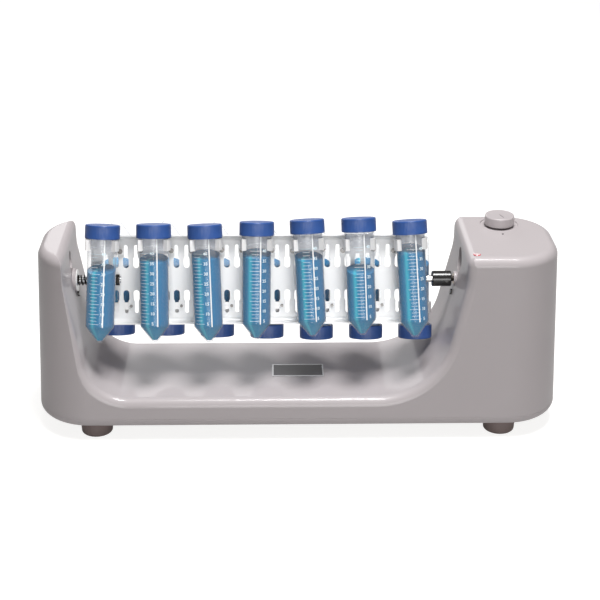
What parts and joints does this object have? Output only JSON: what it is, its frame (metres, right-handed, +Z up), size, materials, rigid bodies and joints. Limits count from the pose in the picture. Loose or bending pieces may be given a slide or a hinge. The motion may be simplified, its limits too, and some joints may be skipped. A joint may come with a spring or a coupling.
{
  "type": "tube rotator",
  "caption": "Bench tube rotator: a U-shaped moulded housing holds a slotted rotor plate between two towers, with screw-cap conical tubes clipped on both faces and a speed knob on top.",
  "frame": {"origin": "middle of the footprint, on the surface that the feet stand on", "axes": "+X along the rotor axis towards the drive tower, -Y towards the front, +Z up"},
  "size_m": [0.5192, 0.1377, 0.2138],
  "materials": {
    "housing_plastic": "smooth glossy moulding",
    "foot_rubber": "matt",
    "steel": "plain",
    "bright_steel": "turned bright",
    "bronze": "turned",
    "black_steel": "blackened, oily",
    "rotor_sheet": "pale gloss coat",
    "clip_plastic": "white moulding",
    "tube_plastic": "clear polypropylene",
    "cap_plastic": "satin moulding",
    "knob_plastic": "smooth moulding",
    "black_plastic": "smooth moulding",
    "plate_foil": "printed foil, blank",
    "lamp_red": "clear tinted lens",
    "board_green": "coated board"
  },
  "bodies": {
    "root": {"housing": "housing_plastic", "base_tray": "housing_plastic", "base_screws": "steel", "feet": "foot_rubber", "floor_plate": "plate_foil", "idler_bush": "bronze", "idler_bracket": "steel", "idler_washer": "clip_plastic", "drive_bush": "bronze", "gearbox": "steel", "motor": "steel", "motor_bracket": "steel", "bracket_screws": "steel", "speed_pot": "black_plastic", "circuit_board": "board_green", "power_supply": "black_plastic", "run_lamp": "lamp_red", "power_switch": "black_plastic", "power_inlet": "black_plastic"},
    "drive": {"coupling": "black_plastic", "coupling_screws": "black_steel", "drive_shaft": "steel"},
    "rotor": {"rotor_plate": "rotor_sheet", "idler_shaft": "steel", "idler_spring": "black_steel", "rotor_nuts": "black_steel", "drive_stub": "bright_steel", "front_clips": "clip_plastic", "rear_clips": "clip_plastic", "clip_screws": "steel", "rear_tube_7": "tube_plastic", "rear_cap_7": "cap_plastic"},
    "knob": {"speed_knob": "knob_plastic"},
    "rocker": {"power_rocker": "black_plastic"},
    "front_sample_1": {"front_tube_1": "tube_plastic", "front_cap_1": "cap_plastic"},
    "front_sample_2": {"front_tube_2": "tube_plastic", "front_cap_2": "cap_plastic"},
    "front_sample_3": {"front_tube_3": "tube_plastic", "front_cap_3": "cap_plastic"},
    "front_sample_4": {"front_tube_4": "tube_plastic", "front_cap_4": "cap_plastic"},
    "front_sample_5": {"front_tube_5": "tube_plastic", "front_cap_5": "cap_plastic"},
    "front_sample_6": {"front_tube_6": "tube_plastic", "front_cap_6": "cap_plastic"},
    "front_sample_7": {"front_tube_7": "tube_plastic", "front_cap_7": "cap_plastic"},
    "rear_sample_1": {"rear_tube_1": "tube_plastic", "rear_cap_1": "cap_plastic"},
    "rear_sample_2": {"rear_tube_2": "tube_plastic", "rear_cap_2": "cap_plastic"},
    "rear_sample_3": {"rear_tube_3": "tube_plastic", "rear_cap_3": "cap_plastic"},
    "rear_sample_4": {"rear_tube_4": "tube_plastic", "rear_cap_4": "cap_plastic"},
    "rear_sample_5": {"rear_tube_5": "tube_plastic", "rear_cap_5": "cap_plastic"},
    "rear_sample_6": {"rear_tube_6": "tube_plastic", "rear_cap_6": "cap_plastic"}
  },
  "joints": [
    {"name": "rotor_spin", "type": "hinge", "parent": "root", "child": "drive", "pos_m": [0.15174, 0, 0.1437], "axis": [1, 0, 0], "continuous": true},
    {"name": "rotor_shift", "type": "slide", "parent": "drive", "child": "rotor", "axis": [1, 0, 0], "range_m": [-0.003, 0], "stiffness_N_per_m": 500, "springref_m": 0.002, "deforming": ["idler_spring"]},
    {"name": "speed_turn", "type": "hinge", "parent": "root", "child": "knob", "pos_m": [0.202, 0.033, 0.1887], "axis": [0, 0, 1], "range_deg": [-170, 130]},
    {"name": "power_press", "type": "hinge", "parent": "root", "child": "rocker", "pos_m": [0.2537, 0, 0.1024], "axis": [0, 1, 0], "range_deg": [0, 14]},
    {"name": "front_draw_1", "type": "slide", "parent": "rotor", "child": "front_sample_1", "axis": [0.0471, 0.2987, 0.9532], "range_m": [0, 0.01]},
    {"name": "front_draw_2", "type": "slide", "parent": "rotor", "child": "front_sample_2", "axis": [0.0017, 0.299, 0.9542], "range_m": [0, 0.024]},
    {"name": "front_draw_3", "type": "slide", "parent": "rotor", "child": "front_sample_3", "axis": [-0.0314, 0.2989, 0.9538], "range_m": [0, 0.024]},
    {"name": "front_draw_4", "type": "slide", "parent": "rotor", "child": "front_sample_4", "axis": [0.0105, 0.299, 0.9542], "range_m": [0, 0.024]},
    {"name": "front_draw_5", "type": "slide", "parent": "rotor", "child": "front_sample_5", "axis": [-0.0489, 0.2987, 0.9531], "range_m": [0, 0.024]},
    {"name": "front_draw_6", "type": "slide", "parent": "rotor", "child": "front_sample_6", "axis": [-0.0384, 0.2988, 0.9535], "range_m": [0, 0.024]},
    {"name": "front_draw_7", "type": "slide", "parent": "rotor", "child": "front_sample_7", "axis": [-0.0593, 0.2985, 0.9526], "range_m": [0, 0.016]},
    {"name": "rear_draw_1", "type": "slide", "parent": "rotor", "child": "rear_sample_1", "axis": [0, -0.299, -0.9542], "range_m": [0, 0.013]},
    {"name": "rear_draw_2", "type": "slide", "parent": "rotor", "child": "rear_sample_2", "axis": [0, -0.299, -0.9542], "range_m": [0, 0.02]},
    {"name": "rear_draw_3", "type": "slide", "parent": "rotor", "child": "rear_sample_3", "axis": [0, -0.299, -0.9542], "range_m": [0, 0.02]},
    {"name": "rear_draw_4", "type": "slide", "parent": "rotor", "child": "rear_sample_4", "axis": [0, -0.299, -0.9542], "range_m": [0, 0.02]},
    {"name": "rear_draw_5", "type": "slide", "parent": "rotor", "child": "rear_sample_5", "axis": [0, -0.299, -0.9542], "range_m": [0, 0.02]},
    {"name": "rear_draw_6", "type": "slide", "parent": "rotor", "child": "rear_sample_6", "axis": [0, -0.299, -0.9542], "range_m": [0, 0.02]}
  ]
}
